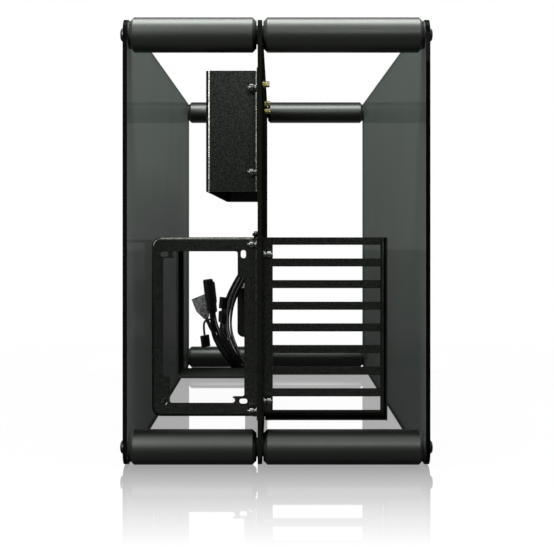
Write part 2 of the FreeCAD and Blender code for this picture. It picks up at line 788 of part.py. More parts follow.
circle(
    notches,
    mouth_left + " + sizes.flat_tab_wide",
    mouth_high + " - sizes.tab_notch_dia / 2",
    "sizes.tab_notch_dia",
)
pocket(frame, notches, "2 * sizes.sheet")
screw_slots = sketch(frame, "screw_slots", "XZ_Plane")
hole_right = "(-sizes.psu_hole_inset)"
hole_left = "(-sizes.psu_hole_inset - sizes.psu_hole_span_x)"
hole_low = "sizes.psu_hole_rise"
hole_high = "(sizes.psu_hole_rise + sizes.psu_hole_span_z)"
PSU_HOLES = (
    (hole_right, hole_high, "sizes.psu_slot_wide", "sizes.psu_slot_long"),
    (hole_right, hole_low, "sizes.psu_slot_long", "sizes.psu_slot_wide"),
    (hole_left, hole_high, "sizes.psu_slot_long", "sizes.psu_slot_wide"),
    (hole_left, hole_low, "sizes.psu_slot_wide", "sizes.psu_slot_long"),
)
for x, z, across, up in PSU_HOLES:
    rectangle(
        screw_slots,
        "%s - %s / 2" % (x, across),
        "%s - %s / 2" % (z, up),
        "%s + %s / 2" % (x, across),
        "%s + %s / 2" % (z, up),
        "sizes.psu_slot_wide * 0.45",
    )
pocket(frame, screw_slots, "2 * sizes.sheet")
flange_holes(frame, psu_screws, (Y_REAR, "sizes.bay_bottom"), "0", "sizes.sheet")
node(frame, "psu_frame")

# Support strip: a C folded from a wide strip, its ends turned out against the plate.
support = body_at("psu_support", X_PLATE, Y_SUPPORT, "sizes.bay_bottom")
profile = sketch(support, "profile", "XZ_Plane")
SUPPORT_OUT = "sizes.support_bend + sizes.support_sheet"
left_inner = "-sizes.psu_width + sizes.support_sheet"
top_inner = "sizes.support_height - sizes.support_sheet"
flange_low = "sizes.support_sheet - sizes.support_flange"
flange_high = "sizes.support_height - sizes.support_sheet + sizes.support_flange"
outline(profile, [
    ("0", flange_low),
    ("0", "sizes.support_sheet"),
    (left_inner, "sizes.support_sheet"),
    (left_inner, top_inner),
    ("0", top_inner),
    ("0", flange_high),
    ("-sizes.support_sheet", flange_high),
    ("-sizes.support_sheet", "sizes.support_height"),
    ("-sizes.psu_width", "sizes.support_height"),
    ("-sizes.psu_width", "0"),
    ("-sizes.support_sheet", "0"),
    ("-sizes.support_sheet", flange_low),
], {
    1: SUPPORT_OUT,
    2: "sizes.support_bend",
    3: "sizes.support_bend",
    4: SUPPORT_OUT,
    7: "sizes.support_bend",
    8: SUPPORT_OUT,
    9: SUPPORT_OUT,
    10: "sizes.support_bend",
})
pad(support, profile, "sizes.support_depth", True)
flange_holes(support, support_screws, (Y_SUPPORT, "sizes.bay_bottom"), "0", "sizes.support_sheet")
node(support, "psu_support")

# Drive box: a hat section folded from one sheet, open above and below.
box = body_at("drive_box", X_PLATE, Y_REAR, "sizes.drive_bottom")
profile = sketch(box, "profile", "XY_Plane")
DRIVE_OUT = "sizes.drive_bend + sizes.sheet"
left_inner = "-sizes.drive_width + sizes.sheet"
end_inner = "sizes.drive_length - sizes.sheet"
outline(profile, [
    ("0", "-sizes.flange"),
    ("0", "sizes.sheet"),
    (left_inner, "sizes.sheet"),
    (left_inner, end_inner),
    ("0", end_inner),
    ("0", "sizes.drive_length + sizes.flange"),
    ("-sizes.sheet", "sizes.drive_length + sizes.flange"),
    ("-sizes.sheet", "sizes.drive_length"),
    ("-sizes.drive_width", "sizes.drive_length"),
    ("-sizes.drive_width", "0"),
    ("-sizes.sheet", "0"),
    ("-sizes.sheet", "-sizes.flange"),
], {
    1: BEND_OUT,
    2: "sizes.drive_bend",
    3: "sizes.drive_bend",
    4: BEND_OUT,
    7: "sizes.bend",
    8: DRIVE_OUT,
    9: DRIVE_OUT,
    10: "sizes.bend",
})
pad(box, profile, "sizes.drive_height")
drive_hole = sketch(box, "drive_hole", "YZ_Plane", left_inner)
drive_hole_low = "(sizes.drive_height - sizes.drive_hole_span_z) / 2"
for y in ("sizes.drive_first", "sizes.drive_first + sizes.drive_hole_span_y"):
    circle(drive_hole, y, drive_hole_low, "sizes.drive_hole_dia")
    circle(drive_hole, y, drive_hole_low + " + sizes.drive_hole_span_z", "sizes.drive_hole_dia")
drive_cut = pocket(box, drive_hole, "sizes.sheet")
repeat(box, [drive_cut], ("Y_Axis", "(sizes.drive_count - 1) * sizes.drive_pitch", "sizes.drive_count"))
flange_holes(box, drive_screws, (Y_REAR, "sizes.drive_bottom"), "0", "sizes.sheet")
node(box, "drive_box")


def primitive(kind, name, sizes, x, y, z, rotation=None):
    """Part primitive with bound sizes and place."""
    item = doc.addObject("Part::" + kind, name)
    for size, expression in sizes.items():
        item.setExpression(size, expression)
    if rotation is not None:
        item.Placement.Rotation = rotation
    place(item, x, y, z)
    return item


def joined(kind, name, base, tool):
    item = doc.addObject("Part::" + kind, name)
    item.Base = base
    item.Tool = tool
    return item


def bundle(label, items):
    item = doc.addObject("Part::Compound", label)
    item.Links = items
    return node(item, label)


ALONG_X = Rotation(Vector(0, 1, 0), 90)
standoffs = []
for number, (y, z) in enumerate(standoff_places, 1):
    name = "standoff_%d" % number
    hexagon = primitive(
        "Prism",
        name + "_hex",
        {"Circumradius": "sizes.standoff_across / 2 / cos(30)", "Height": "sizes.standoff_high"},
        X_BOARD_SIDE,
        y,
        z,
        ALONG_X,
    )
    pin = primitive(
        "Cylinder",
        name + "_pin",
        {"Radius": "sizes.standoff_pin / 2", "Height": "sizes.plate_thick"},
        X_PLATE,
        y,
        z,
        ALONG_X,
    )
    bore = primitive(
        "Cylinder",
        name + "_bore",
        {"Radius": "sizes.standoff_bore / 2", "Height": "sizes.standoff_bore_deep"},
        X_BOARD_SIDE + " + sizes.standoff_high - sizes.standoff_bore_deep",
        y,
        z,
        ALONG_X,
    )
    standoffs.append(joined("Cut", name, joined("Fuse", name + "_blank", hexagon, pin), bore))
bundle("standoffs", standoffs)

# Front-panel housing: a cap that the plate closes, with its ports on the front wall.
io = body_at("io_housing", X_PLATE, Y_IO, "sizes.io_bottom")
profile = sketch(io, "profile", "XZ_Plane")
outline(profile, [
    ("-sizes.io_width", "0"),
    ("0", "0"),
    ("0", "sizes.io_height"),
    ("-sizes.io_width", "sizes.io_height"),
], {0: "sizes.io_round", 3: "sizes.io_round"})
pad(io, profile, "sizes.io_depth")
inside = sketch(io, "inside", "YZ_Plane")
rectangle(
    inside,
    "-sizes.io_depth + sizes.io_wall",
    "sizes.io_wall",
    "-sizes.io_wall",
    "sizes.io_height - sizes.io_wall",
)
pocket(io, inside, "sizes.io_width - sizes.io_round")
deep = sketch(io, "deep", "YZ_Plane")
rectangle(
    deep,
    "-sizes.io_depth + sizes.io_wall",
    "sizes.io_round",
    "-sizes.io_wall",
    "sizes.io_height - sizes.io_round",
)
pocket(io, deep, "sizes.io_width - sizes.io_wall")
posts = sketch(io, "posts", "YZ_Plane", "-sizes.io_width + sizes.io_wall")
post_y = "(-sizes.io_depth + sizes.io_post_y)"
post_places = [
    (post_y + extra, z)
    for extra in ("", " + sizes.io_post_span_y")
    for z in ("sizes.io_post_z", "(sizes.io_height - sizes.io_post_z)")
]
for y, z in post_places:
    circle(posts, y, z, "sizes.io_post_dia")
pad(io, posts, "sizes.io_width - sizes.io_wall")
post_bores = sketch(io, "post_bores", "YZ_Plane")
for y, z in post_places:
    circle(post_bores, y, z, "sizes.screw_dia + 2 * sizes.thread_clear")
pocket(io, post_bores, "sizes.io_screw_reach + sizes.bore_spare")
ports = sketch(io, "ports", "XZ_Plane")
port_x = "(-sizes.io_port_x)"
circle(ports, port_x, "sizes.power_rise", "sizes.power_dia + 2 * sizes.button_clear")
circle(ports, port_x, "sizes.reset_rise", "sizes.reset_dia + 2 * sizes.button_clear")
for step in ("0", "1"):
    usb_z = "(sizes.usb_first_rise + %s * sizes.usb_pitch)" % step
    rectangle(
        ports,
        port_x + " - sizes.usb_wide / 2 - sizes.port_clear",
        usb_z + " - sizes.usb_high / 2 - sizes.port_clear",
        port_x + " + sizes.usb_wide / 2 + sizes.port_clear",
        usb_z + " + sizes.usb_high / 2 + sizes.port_clear",
    )
    jack_z = "(sizes.jack_first_rise + %s * sizes.jack_pitch)" % step
    circle(ports, port_x, jack_z, "sizes.jack_dia + 2 * sizes.port_clear")
pocket(io, ports, "sizes.io_wall", True)
gland_hole = sketch(io, "gland_hole", "XY_Plane", "sizes.io_height")
circle(gland_hole, port_x, "-sizes.gland_setback", "sizes.gland_neck + 2 * sizes.port_clear")
pocket(io, gland_hole, "sizes.io_wall")
node(io, "io_housing")

# Board behind the front wall, and what sits on it.
X_PORT = "(%s - sizes.io_port_x)" % X_PLATE
Y_PORT_BACK = "(%s - sizes.port_depth)" % Y_IO
board = primitive(
    "Box",
    "io_board",
    {
        "Length": "sizes.io_width - sizes.io_round - sizes.io_board_clear",
        "Width": "sizes.io_board_thick",
        "Height": "sizes.io_height - 2 * sizes.io_wall - 2 * sizes.io_board_clear",
    },
    "%s - sizes.io_width + sizes.io_round" % X_PLATE,
    Y_PORT_BACK + " - sizes.io_board_thick",
    "sizes.io_bottom + sizes.io_wall + sizes.io_board_clear",
)
node(board, "io_board")

usb_ports = []
for step in ("0", "1"):
    usb_z = "(sizes.io_bottom + sizes.usb_first_rise + %s * sizes.usb_pitch)" % step
    name = "usb_" + step
    shell = primitive(
        "Box",
        name + "_shell",
        {"Length": "sizes.usb_wide", "Width": "sizes.port_depth", "Height": "sizes.usb_high"},
        X_PORT + " - sizes.usb_wide / 2",
        Y_PORT_BACK,
        usb_z + " - sizes.usb_high / 2",
    )
    cavity = primitive(
        "Box",
        name + "_cavity",
        {
            "Length": "sizes.usb_wide - 2 * sizes.usb_shell",
            "Width": "sizes.port_depth - sizes.usb_shell",
            "Height": "sizes.usb_high - 2 * sizes.usb_shell",
        },
        X_PORT + " - sizes.usb_wide / 2 + sizes.usb_shell",
        Y_PORT_BACK + " + sizes.usb_shell",
        usb_z + " - sizes.usb_high / 2 + sizes.usb_shell",
    )
    tongue = primitive(
        "Box",
        name + "_tongue",
        {
            "Length": "sizes.usb_wide - 4 * sizes.usb_shell",
            "Width": "sizes.usb_tongue_deep",
            "Height": "sizes.usb_tongue_high",
        },
        X_PORT + " - sizes.usb_wide / 2 + 2 * sizes.usb_shell",
        Y_PORT_BACK,
        usb_z + " - sizes.usb_tongue_high / 8",
    )
    usb_ports.append(joined("Fuse", name, joined("Cut", name + "_open", shell, cavity), tongue))
bundle("usb_ports", usb_ports)

jacks = body_at("audio_jacks", X_PORT, Y_IO, "sizes.io_bottom + sizes.jack_first_rise")
profile = sketch(jacks, "profile", "XY_Plane")
outline(profile, [
    ("0", "-sizes.port_depth"),
    ("sizes.jack_dia / 2", "-sizes.port_depth"),
    ("sizes.jack_dia / 2", "0"),
    ("sizes.jack_bore / 2", "0"),
    ("sizes.jack_bore / 2", "-sizes.jack_bore_deep"),
    ("0", "-sizes.jack_bore_deep"),
])
repeat(jacks, [turned(jacks, profile, "V_Axis")], ("Z_Axis", "sizes.jack_pitch", "2"))
node(jacks, "audio_jacks")

STEM_END = "(sizes.port_depth - sizes.switch_high - sizes.button_travel - sizes.switch_stop_gap)"


def button(label, rise, dia):
    """Turned push button: cap, retaining rim behind the wall, stem towards its switch."""
    body = body_at(label, X_PORT, Y_IO, "sizes.io_bottom + " + rise)
    profile = sketch(body, "profile", "XY_Plane")
    rim = "-sizes.io_wall - sizes.button_clear"
    outline(profile, [
        ("0", "-" + STEM_END),
        ("sizes.button_stem_dia / 2", "-" + STEM_END),
        ("sizes.button_stem_dia / 2", rim + " - sizes.button_rim_thick"),
        (dia + " / 2 + sizes.button_rim", rim + " - sizes.button_rim_thick"),
        (dia + " / 2 + sizes.button_rim", rim),
        (dia + " / 2", rim),
        (dia + " / 2", "sizes.button_proud"),
        ("0", "sizes.button_proud"),
    ], {6: "sizes.button_proud / 2"})
    turned(body, profile, "V_Axis")
    return node(body, label)


button("power_button", "sizes.power_rise", "sizes.power_dia")
button("reset_button", "sizes.reset_rise", "sizes.reset_dia")

switches = [
    primitive(
        "Box",
        "switch_" + name,
        {"Length": "sizes.switch_side", "Width": "sizes.switch_high", "Height": "sizes.switch_side"},
        X_PORT + " - sizes.switch_side / 2",
        Y_PORT_BACK,
        "sizes.io_bottom + %s - sizes.switch_side / 2" % rise,
    )
    for name, rise in (("power", "sizes.power_rise"), ("reset", "sizes.reset_rise"))
]
bundle("button_switches", switches)


def housing_screws():
    """Screws from the board side of the plate into the posts of the housing."""
    first = io_screws[0]
    body = body_at("io_housing_screws", X_BOARD_SIDE, first[0], first[1])
    profile = sketch(body, "profile", "XY_Plane")
    tip = "-(sizes.plate_thick + sizes.io_screw_reach)"
    outline(profile, [
        (tip, "0"),
        ("sizes.screw_head_high", "0"),
        ("sizes.screw_head_high", "sizes.screw_head_dia / 2"),
        ("0", "sizes.screw_head_dia / 2"),
        ("0", "sizes.screw_dia / 2"),
        (tip, "sizes.screw_dia / 2"),
    ], {2: "sizes.screw_head_round"})
    repeat(
        body,
        [turned(body, profile)],
        ("Y_Axis", "sizes.io_post_span_y", "2"),
        ("Z_Axis", "sizes.io_height - 2 * sizes.io_post_z", "2"),
    )
    return node(body, "io_housing_screws")


housing_screws()

gland = body_at("cable_gland", X_PORT, Y_IO + " - sizes.gland_setback", Z_IO_TOP)
profile = sketch(gland, "profile", "XZ_Plane")
outline(profile, [
    ("0", "-sizes.io_wall"),
    ("sizes.gland_neck / 2", "-sizes.io_wall"),
    ("sizes.gland_neck / 2", "0"),
    ("sizes.gland_dia / 2", "0"),
    ("sizes.gland_dia / 2", "sizes.gland_high"),
    ("0", "sizes.gland_high"),
], {4: "sizes.gland_collar / 2"})
turned(gland, profile, "V_Axis")
node(gland, "cable_gland")

# Leads of the front panel: the bundle leaves the gland, folds over below and rises again, and there the leads part.
BUNDLE = [
    (-36.5, 288.0, 130.5),
    (-36.5, 288.0, 147.5),
    (-38.5, 270.0, 158.5),
    (-44.5, 249.0, 150.0),
    (-54.5, 224.0, 133.5),
    (-65.0, 195.0, 111.5),
    (-68.5, 170.0, 89.0),
    (-66.5, 150.0, 69.5),
    (-60.5, 135.5, 53.5),
    (-53.0, 125.5, 41.0),
    (-46.5, 115.5, 31.0),
    (-43.5, 101.0, 26.5),
    (-47.0, 86.5, 30.5),
    (-56.0, 80.0, 43.0),
    (-67.0, 79.5, 59.5),
    (-76.5, 83.0, 77.0),
]


def bundle_route(across, deep, *ends):
    """Points of a lead at its place in the bundle, then those of its own end."""
    spots = [Vector(*spot) for spot in BUNDLE]
    runs = [(after - before).normalize() for before, after in zip(spots, spots[1:])]
    side = Vector(1, 0, 0)
    points = []
    for number, spot in enumerate(spots):
        arriving = runs[max(number - 1, 0)]
        leaving = runs[min(number, len(runs) - 1)]
        way = (arriving + leaving).normalize()
        side = (side - way * side.dot(way)).normalize()
        offset = side * across + way.cross(side) * deep
        turn = leaving - arriving
        if turn.Length > 1e-6:
            inward = turn.normalize()
            offset = offset + inward * (offset.dot(inward) * (1 / way.dot(arriving) - 1))
        points.append(spot + offset)
    return points + [Vector(*spot) for spot in ends]


DATA_ROUTE = bundle_route(-5.0, -3.4, (-82.5, 79.0, 94.0), (-84.0, 79.0, 107.0))
SECOND_ROUTE = bundle_route(1.4, 3.1, (-81.0, 100.0, 92.0), (-82.5, 103.5, 103.0))
AUDIO_ROUTE = bundle_route(-4.4, 3.1, (-86.5, 88.5, 85.0), (-91.0, 90.0, 96.0))
LEAD_ROUTE = bundle_route(
    0.6,
    -3.4,
    (-78.8, 70.0, 88.0),
    (-80.0, 68.3, 94.4),
    (-86.4, 67.2, 97.3),
    (-92.5, 67.0, 93.7),
    (-93.2, 67.0, 85.8),
    (-92.0, 67.5, 76.0),
)
RESET_ROUTE = bundle_route(4.8, -3.4, (-70.5, 82.5, 95.0), (-69.5, 84.0, 109.0))
LAMP_ROUTE = bundle_route(6.3, 3.1, (-70.5, 92.0, 90.0))


def lead(label, route, dia):
    """Round lead along straight runs joined by tangent arcs."""
    points = [Vector(*spot) for spot in route]
    start = points[0]
    path = []
    length = 0.0
    radii = []
    for before, corner, after in zip(points, points[1:], points[2:]):
        arriving = (corner - before).normalize()
        leaving = (after - corner).normalize()
        turn = arriving.getAngle(leaving)
        reach = 0.45 * min((corner - before).Length, (after - corner).Length)
        radius = reach / math.tan(turn / 2)
        inward = (leaving - arriving).normalize()
        middle = corner + inward * (radius / math.cos(turn / 2) - radius)
        first = corner - arriving * reach
        last = corner + leaving * reach
        path.append(Part.LineSegment(start, first).toShape())
        path.append(Part.Arc(first, middle, last).toShape())
        length += (first - start).Length + radius * turn
        radii.append(round(radius, 1))
        start = last
    path.append(Part.LineSegment(start, points[-1]).toShape())
    length += (points[-1] - start).Length
    radius = value(dia) / 2
    ring = Part.Wire(Part.makeCircle(radius, points[0], points[1] - points[0]))
    solid = Part.Wire(path).makePipeShell([ring], True, False)
    if abs(solid.Volume / (math.pi * radius ** 2 * length) - 1) > 0.01:
        raise ValueError(label + " has a wrong volume")
    print(label, "length", round(length, 1), "radii", radii)
    item = doc.addObject("Part::Feature", label)
    item.Shape = solid
    return node(item, label)


lead("data_cable", DATA_ROUTE, "sizes.data_cable_dia")
lead("second_cable", SECOND_ROUTE, "sizes.second_cable_dia")
lead("audio_cable", AUDIO_ROUTE, "sizes.audio_cable_dia")
lead("switch_lead", LEAD_ROUTE, "sizes.lead_dia")
lead("reset_lead", RESET_ROUTE, "sizes.thin_lead_dia")
lead("lamp_lead", LAMP_ROUTE, "sizes.thin_lead_dia")


def at_end(body, route, twist):
    """Stand a body on the end of a lead, its +Z along the lead, turned about it by twist degrees."""
    end = Vector(*route[-1])
    way = (end - Vector(*route[-2])).normalize()
    rotation = Rotation(Vector(0, 0, 1), way).multiply(Rotation(Vector(0, 0, 1), twist))
    body.Placement = FreeCAD.Placement(end, rotation)


def centred(item, wide, thick, round_by=None):
    rectangle(item, "-%s / 2" % wide, "-%s / 2" % thick, "%s / 2" % wide, "%s / 2" % thick, round_by)


def data_plug(label, route, twist):
    """Slim plug with a ribbed boot."""
    body = doc.addObject("PartDesign::Body", label)
    profile = sketch(body, "boot", "XY_Plane")
    centred(profile, "sizes.boot_wide", "sizes.boot_thick", "sizes.data_plug_round")
    pad(body, profile, "sizes.boot_long")
    profile = sketch(body, "rib", "XY_Plane", "sizes.boot_rib_long")
    centred(
        profile,
        "(sizes.boot_wide + 2 * sizes.boot_rib)",
        "(sizes.boot_thick + 2 * sizes.boot_rib)",
        "sizes.data_plug_round",
    )
    rib = pad(body, profile, "sizes.boot_rib_long")
    repeat(body, [rib], ("Z_Axis", "3 * sizes.boot_rib_pitch", "4"))
    profile = sketch(body, "shell", "XY_Plane", "sizes.boot_long")
    centred(profile, "sizes.data_plug_wide", "sizes.data_plug_thick", "sizes.data_plug_round")
    shell = pad(body, profile, "sizes.data_plug_long")
    doc.recompute()
    plug_top = value("sizes.boot_long + sizes.data_plug_long")
    top_edges = edges_of(shell.Shape, lambda e: e.BoundBox.ZMin > plug_top - 1e-6)
    dress(body, "Chamfer", shell, top_edges, "Size", "sizes.data_plug_chamfer")
    at_end(body, route, twist)
    node(body, label)


data_plug("data_plug", DATA_ROUTE, 38)
data_plug("second_plug", SECOND_ROUTE, 10)

audio_plug = doc.addObject("PartDesign::Body", "audio_plug")
neck = sketch(audio_plug, "neck", "XY_Plane")
centred(neck, "sizes.audio_plug_neck", "sizes.audio_plug_neck")
shoulder = sketch(audio_plug, "shoulder", "XY_Plane", "sizes.audio_plug_taper")
centred(shoulder, "sizes.audio_plug_wide", "sizes.audio_plug_thick")
taper = audio_plug.newObject("PartDesign::AdditiveLoft", "audio_plug_taper")
taper.Profile = neck
taper.Sections = [shoulder]
doc.recompute()
head = sketch(audio_plug, "head", "XY_Plane", "sizes.audio_plug_taper")
centred(head, "sizes.audio_plug_wide", "sizes.audio_plug_thick")
pad(audio_plug, head, "sizes.audio_plug_long")
at_end(audio_plug, AUDIO_ROUTE, 0)
node(audio_plug, "audio_plug")


def lead_plug(label, route, twist):
    """Small flat plug with a key slot."""
    body = doc.addObject("PartDesign::Body", label)
    profile = sketch(body, "shell", "XY_Plane")
    centred(profile, "sizes.lead_plug_wide", "sizes.lead_plug_thick")
    pad(body, profile, "sizes.lead_plug_long")
    key = sketch(body, "key", "XZ_Plane", "sizes.lead_plug_thick / 2")
    rectangle(
        key,
        "-sizes.lead_plug_key / 2",
        "sizes.lead_plug_key",
        "sizes.lead_plug_key / 2",
        "sizes.lead_plug_long",
    )
    pocket(body, key, "sizes.lead_plug_key_deep")
    at_end(body, route, twist)
    node(body, label)


lead_plug("lead_plug", LEAD_ROUTE, 0)
lead_plug("reset_plug", RESET_ROUTE, 60)
lead_plug("lamp_plug", LAMP_ROUTE, 60)

doc.recompute()
faults = [item.Name for item in doc.Objects if "Invalid" in item.State or "Error" in item.State]
for label, item in nodes:
    if item.Shape.isNull() or not item.Shape.isValid():
        faults.append(label)
if faults:
    raise RuntimeError("failed: " + ", ".join(faults))

os.makedirs("parts", exist_ok=True)
for label, item in nodes:
    item.Shape.exportStep("parts/%s.step" % label)
print(len(nodes), "pieces")
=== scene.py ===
"""Finishes, leads and studio for the open-frame computer case."""

import math

import bmesh
import bpy
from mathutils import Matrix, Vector


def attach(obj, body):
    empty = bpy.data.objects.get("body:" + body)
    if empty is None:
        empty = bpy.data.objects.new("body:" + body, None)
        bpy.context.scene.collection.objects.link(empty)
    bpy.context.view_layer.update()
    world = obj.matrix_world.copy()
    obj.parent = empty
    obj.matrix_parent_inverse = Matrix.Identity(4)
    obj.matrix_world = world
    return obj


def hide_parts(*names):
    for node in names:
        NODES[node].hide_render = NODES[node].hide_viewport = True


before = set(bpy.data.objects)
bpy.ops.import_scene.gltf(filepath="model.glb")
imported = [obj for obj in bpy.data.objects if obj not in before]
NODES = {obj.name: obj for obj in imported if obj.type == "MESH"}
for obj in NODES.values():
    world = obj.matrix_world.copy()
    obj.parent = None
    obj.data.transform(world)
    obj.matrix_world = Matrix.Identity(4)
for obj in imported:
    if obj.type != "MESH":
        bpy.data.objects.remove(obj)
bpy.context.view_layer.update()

bl_info = {
    "name": "Open-frame computer case",
    "version": (1, 0, 0),
    "blender": (4, 5, 0),
    "location": "3D View > Sidebar > Case",
    "description": "Finishes, leads and studio for an open-frame computer case",
    "category": "Object",
}

BODY = "case"
SHADER = "Principled BSDF"
WHITE = (1.0, 1.0, 1.0)

# Colours of the small parts, of the glass edges and the floor, and the tints of two sheens.
WASHER_BLACK = (0.012, 0.012, 0.012)
STUD_STEEL = (0.45, 0.45, 0.44)
SCREW_OXIDE = (0.05, 0.05, 0.052)
SCREW_NICKEL = (0.20, 0.205, 0.19)
STRIP_SCREW_OXIDE = (0.06, 0.06, 0.06)
HOUSING_BLACK = (0.012, 0.012, 0.0125)
BOARD_GREEN = (0.015, 0.05, 0.025)
PORT_BLACK = (0.012, 0.012, 0.012)
PORT_NICKEL = (0.62, 0.61, 0.59)
BUTTON_BLACK = (0.10, 0.10, 0.105)
GLAND_BLACK = (0.008, 0.008, 0.008)
PLUG_BLACK = (0.010, 0.010, 0.0105)
PLUG_GREY = (0.22, 0.23, 0.22)
GLASS_EDGE_BLACK = (0.003, 0.0033, 0.003)
FLOOR_GREY = (0.85, 0.85, 0.85)
COOL_SHEEN = (0.93, 1.0, 0.92)
DARK_SHEEN = (0.04, 0.045, 0.04)

# Colour of the support strip as a share of the brackets' colour.
STRIP_SHARE = 0.65

# Smoked glass: how flat it is seen where its cover and its painted sheen (a colour lighter where the glass
# is seen flat) begin and end.
GLASS_COVER = (0.2, 0.93)
GLASS_PAINTED_SHEEN = (0.3, 0.85)
GLASS_DARK_SHARE = 0.12
GLASS_EDGE_NORMAL = 0.5

# Camera in millimetres of film, shares of the frame and metres.
LENS = 66.476
SENSOR = 36.0
SHIFT = (0.00415, -0.0928)
CAMERA_PLACE = (-0.0016, -1.2517, 0.2174)

# Softboxes: place and aim, width and height in metres, power in watts.
OVERHEAD = ((0.0, -0.34, 1.35), (0.0, -0.34, 0.0), (1.5, 0.7), 26.0)
LEFT = ((-1.09, -1.39, 0.85), (-0.07, -0.29, 0.32), (0.35, 1.0), 32.0)
RIGHT = ((0.20, -1.40, 0.66), (-0.03, -0.29, 0.3), (0.25, 0.25), 0.8)

# Surroundings as gloss sees them: start and end of a direction's share, and the values there.
BACKDROP_AHEAD = (-0.1, 0.4, 0.0, 1.0)
BACKDROP_LOW = (0.45, 0.75, 1.0, 0.12)
ROOM_ABOVE = (0.07, 0.6, 0.09, 1.1)
ROOM_BEHIND = (0.1, -0.35, 0.1, 1.0)

# Floor: start and end in metres, and the values there; the glow that gloss and bounced light see is kept
# low near the case, a painted shade.
FLOOR_HALF = 8.0
FLOOR_DROP = 0.0002
PAINTED_SHADE_BEYOND = (0.45, 0.9, 0.03, 0.35)
PAINTED_SHADE_BEFORE = (-0.40, -0.60, 0.03, 0.12)
SHADOW_POOL = (0.4, 0.8, 0.1, 0.0)
MIRROR_FADE = (-0.340, -0.563)
MIRROR_CONTACT = (0.26, 0.30, 0.0, 1.0)
MIRROR_BESIDE = (0.25, 0.45, 1.0, 0.0)
MIRROR_INSIDE = (0.45, 0.75, 1.0, 0.0)
MIRROR_FLAT = (0.5, 0.68, 0.0, 1.0)
MIRROR_ROUGHNESS = 0.03

# Middle line of the bundle of leads in millimetres: out of the gland, over, down and up to the plugs.
BUNDLE = [
    (-36.5, 288.0, 130.5),
    (-36.5, 288.0, 147.5),
    (-38.5, 270.0, 158.5),
    (-44.5, 249.0, 150.0),
    (-54.5, 224.0, 133.5),
    (-65.0, 195.0, 111.5),
    (-68.5, 170.0, 89.0),
    (-66.5, 150.0, 69.5),
    (-60.5, 135.5, 53.5),
    (-53.0, 125.5, 41.0),
    (-46.5, 115.5, 31.0),
    (-43.5, 101.0, 26.5),
    (-47.0, 86.5, 30.5),
    (-56.0, 80.0, 43.0),
    (-67.0, 79.5, 59.5),
    (-76.5, 83.0, 77.0),
]


def bundle_route(across, deep, *ends):
    """Route of one lead: the bundle's middle line moved sideways, then its own way to the plug."""
    spots = [Vector(spot) for spot in BUNDLE]
    runs = [(after - before).normalized() for before, after in zip(spots, spots[1:])]
    side = Vector((1.0, 0.0, 0.0))
    points = []
    for number, spot in enumerate(spots):
        arriving = runs[max(number - 1, 0)]
        leaving = runs[min(number, len(runs) - 1)]
        way = (arriving + leaving).normalized()
        side = (side - way * side.dot(way)).normalized()
        offset = side * across + way.cross(side) * deep
        turn = leaving - arriving
        if turn.length > 1e-6:
            inward = turn.normalized()
            offset = offset + inward * (offset.dot(inward) * (1.0 / way.dot(arriving) - 1.0))
        points.append(spot + offset)
    return points + [Vector(spot) for spot in ends]


DATA_ROUTE = bundle_route(-5.0, -3.4, (-82.5, 79.0, 94.0), (-84.0, 79.0, 107.0))
SECOND_ROUTE = bundle_route(1.4, 3.1, (-81.0, 100.0, 92.0), (-82.5, 103.5, 103.0))
AUDIO_ROUTE = bundle_route(-4.4, 3.1, (-86.5, 88.5, 85.0), (-91.0, 90.0, 96.0))
SWITCH_ROUTE = bundle_route(
    0.6,
    -3.4,
    (-78.8, 70.0, 88.0),
    (-80.0, 68.3, 94.4),
    (-86.4, 67.2, 97.3),
    (-92.5, 67.0, 93.7),
    (-93.2, 67.0, 85.8),
    (-92.0, 67.5, 76.0),
)
RESET_ROUTE = bundle_route(4.8, -3.4, (-70.5, 82.5, 95.0), (-69.5, 84.0, 109.0))
LAMP_ROUTE = bundle_route(6.3, 3.1, (-70.5, 92.0, 90.0))

# Each lead: piece, CAD node, plug, route, diameter and length in metres.
LEADS = (
    ("data_jacket", "data_cable", "data_plug", DATA_ROUTE, 0.0060, 0.3637),
    ("second_jacket", "second_cable", "second_plug", SECOND_ROUTE, 0.0052, 0.3631),
    ("audio_jacket", "audio_cable", "audio_plug", AUDIO_ROUTE, 0.0046, 0.3557),
    ("switch_jacket", "switch_lead", "lead_plug", SWITCH_ROUTE, 0.0028, 0.3820),
    ("reset_jacket", "reset_lead", "reset_plug", RESET_ROUTE, 0.0030, 0.3608),
    ("lamp_jacket", "lamp_lead", "lamp_plug", LAMP_ROUTE, 0.0030, 0.3424),
)


def feed(tree, value, place):
    """Link a socket to an input, or set the input to a number."""
    if isinstance(value, bpy.types.NodeSocket):
        tree.links.new(value, place)
    else:
        place.default_value = value


def maths(tree, operation, *values):
    """Result of a sum, product or test of sockets and numbers."""
    node = tree.nodes.new("ShaderNodeMath")
    node.operation = operation
    for value, place in zip(values, node.inputs):
        feed(tree, value, place)
    return node.outputs[0]


def ranged(tree, value, start, end, low=0.0, high=1.0):
    """Value mapped from one range to another."""
    node = tree.nodes.new("ShaderNodeMapRange")
    node.inputs["From Min"].default_value = start
    node.inputs["From Max"].default_value = end
    node.inputs["To Min"].default_value = low
    node.inputs["To Max"].default_value = high
    tree.links.new(value, node.inputs["Value"])
    return node.outputs["Result"]


def mixed(tree, factor, first, second):
    """Value between two others."""
    node = tree.nodes.new("ShaderNodeMix")
    tree.links.new(factor, node.inputs["Factor"])
    feed(tree, first, node.inputs["A"])
    feed(tree, second, node.inputs["B"])
    return node.outputs["Result"]


def parted(tree, vector):
    """Node that takes a vector apart."""
    node = tree.nodes.new("ShaderNodeSeparateXYZ")
    tree.links.new(vector, node.inputs["Vector"])
    return node


def flatness(tree):
    """How flat a surface is seen, from straight on to along it."""
    node = tree.nodes.new("ShaderNodeLayerWeight")
    node.inputs["Blend"].default_value = 0.5
    return node.outputs["Facing"]


def seen_directly(tree, path):
    """One for what the eye sees, also through glass."""
    return maths(tree, "MAXIMUM", path.outputs["Is Camera Ray"], path.outputs["Is Transmission Ray"])


